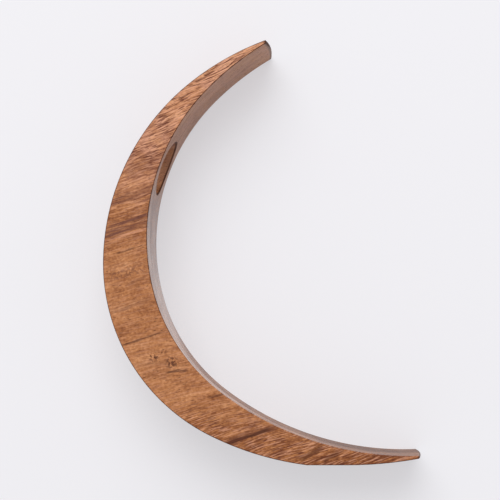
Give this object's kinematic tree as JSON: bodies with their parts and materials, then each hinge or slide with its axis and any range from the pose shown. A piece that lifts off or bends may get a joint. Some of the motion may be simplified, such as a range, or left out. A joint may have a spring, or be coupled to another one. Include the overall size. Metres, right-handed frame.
{
  "type": "wine bottle holder",
  "caption": "Crescent-shaped solid wood stand with a sawn flat foot on its outer curve and a round hole through its upper arm for a bottle neck.",
  "frame": {"origin": "middle of the outline on the back side face, which is the face that the holder lies on", "axes": "+Y from the sawn foot up to the upper tip, +X from the convex back across to the open side, +Z through the board's thickness to the front side face"},
  "size_m": [0.1925, 0.2585, 0.05],
  "materials": {
    "solid_wood": "satin"
  },
  "bodies": {
    "root": {"crescent_stand": "solid_wood"}
  },
  "joints": []
}
